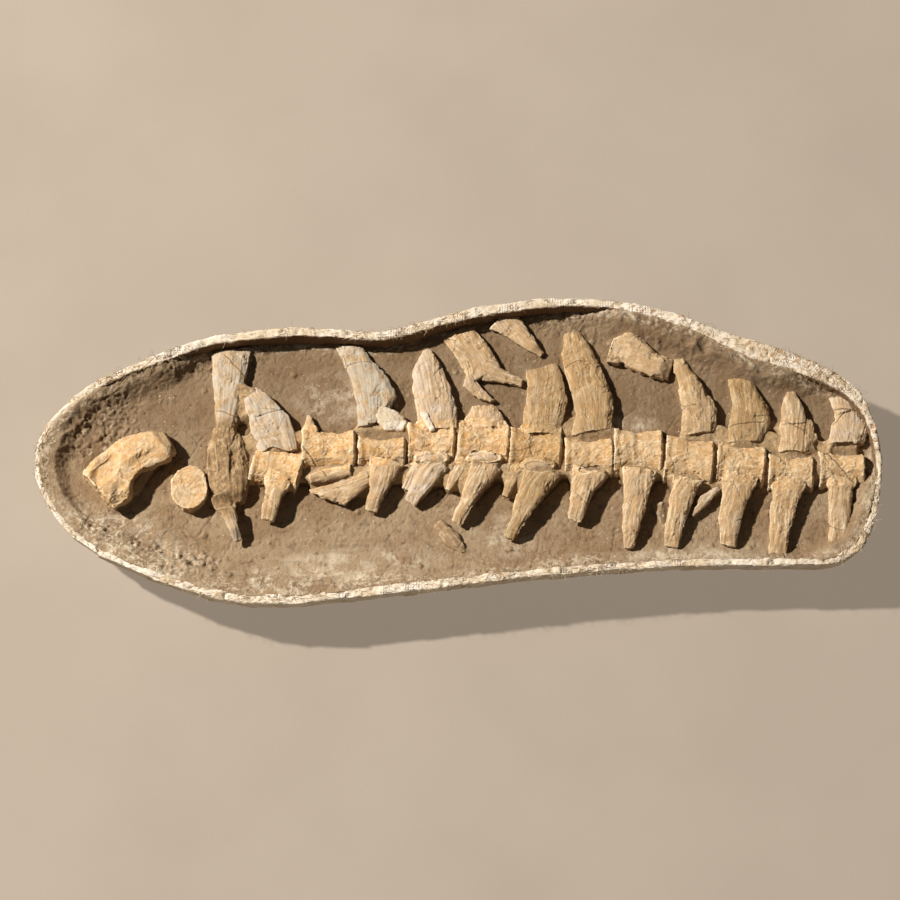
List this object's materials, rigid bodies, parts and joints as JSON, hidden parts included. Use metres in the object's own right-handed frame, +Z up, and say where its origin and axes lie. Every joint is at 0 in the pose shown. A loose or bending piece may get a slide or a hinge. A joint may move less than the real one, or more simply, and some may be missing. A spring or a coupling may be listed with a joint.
{
  "type": "fossil mosasaur vertebral column in a plaster field jacket",
  "caption": "Articulated run of fossil marine reptile tail vertebrae lying on their side in rock matrix, in an open trough-shaped jacket of plaster and burlap.",
  "frame": {"origin": "centre of the bounding box in plan, at the bottom of the plaster jacket", "axes": "+X along the backbone, from the end with the scattered bones to the end with the complete row; +Y towards the neural spines; +Z up, out of the open side of the jacket"},
  "size_m": [1.102, 0.424, 0.101],
  "materials": {
    "plaster": "matt cream plaster over burlap, stained brown along the rim",
    "matrix": "dry brown clay-rich rock, matt and finely speckled",
    "bone": "mineralised bone, tan to orange with pale weathered patches, satin to matt"
  },
  "bodies": {
    "root": {"plaster_jacket": "plaster", "rock_matrix": "matrix", "vertebra_01": "bone", "vertebra_02": "bone", "vertebra_03": "bone", "vertebra_04": "bone", "vertebra_05": "bone", "vertebra_06": "bone", "vertebra_07": "bone", "vertebra_08": "bone", "vertebra_09": "bone", "vertebra_10": "bone", "vertebra_11": "bone", "vertebra_12": "bone", "vertebra_13": "bone", "vertebra_14": "bone", "vertebra_15": "bone", "neural_spine_04": "bone", "neural_spine_06": "bone", "neural_spine_10": "bone", "neural_spine_12": "bone", "neural_spine_13": "bone", "neural_spine_14": "bone", "neural_spine_15": "bone", "loose_arch": "bone", "loose_process": "bone", "loose_spine_tip": "bone", "loose_slab": "bone", "splinter_low": "bone", "splinter_middle": "bone", "splinter_right": "bone", "plaster_dab_06": "plaster", "plaster_dab_07": "plaster"}
  },
  "joints": []
}
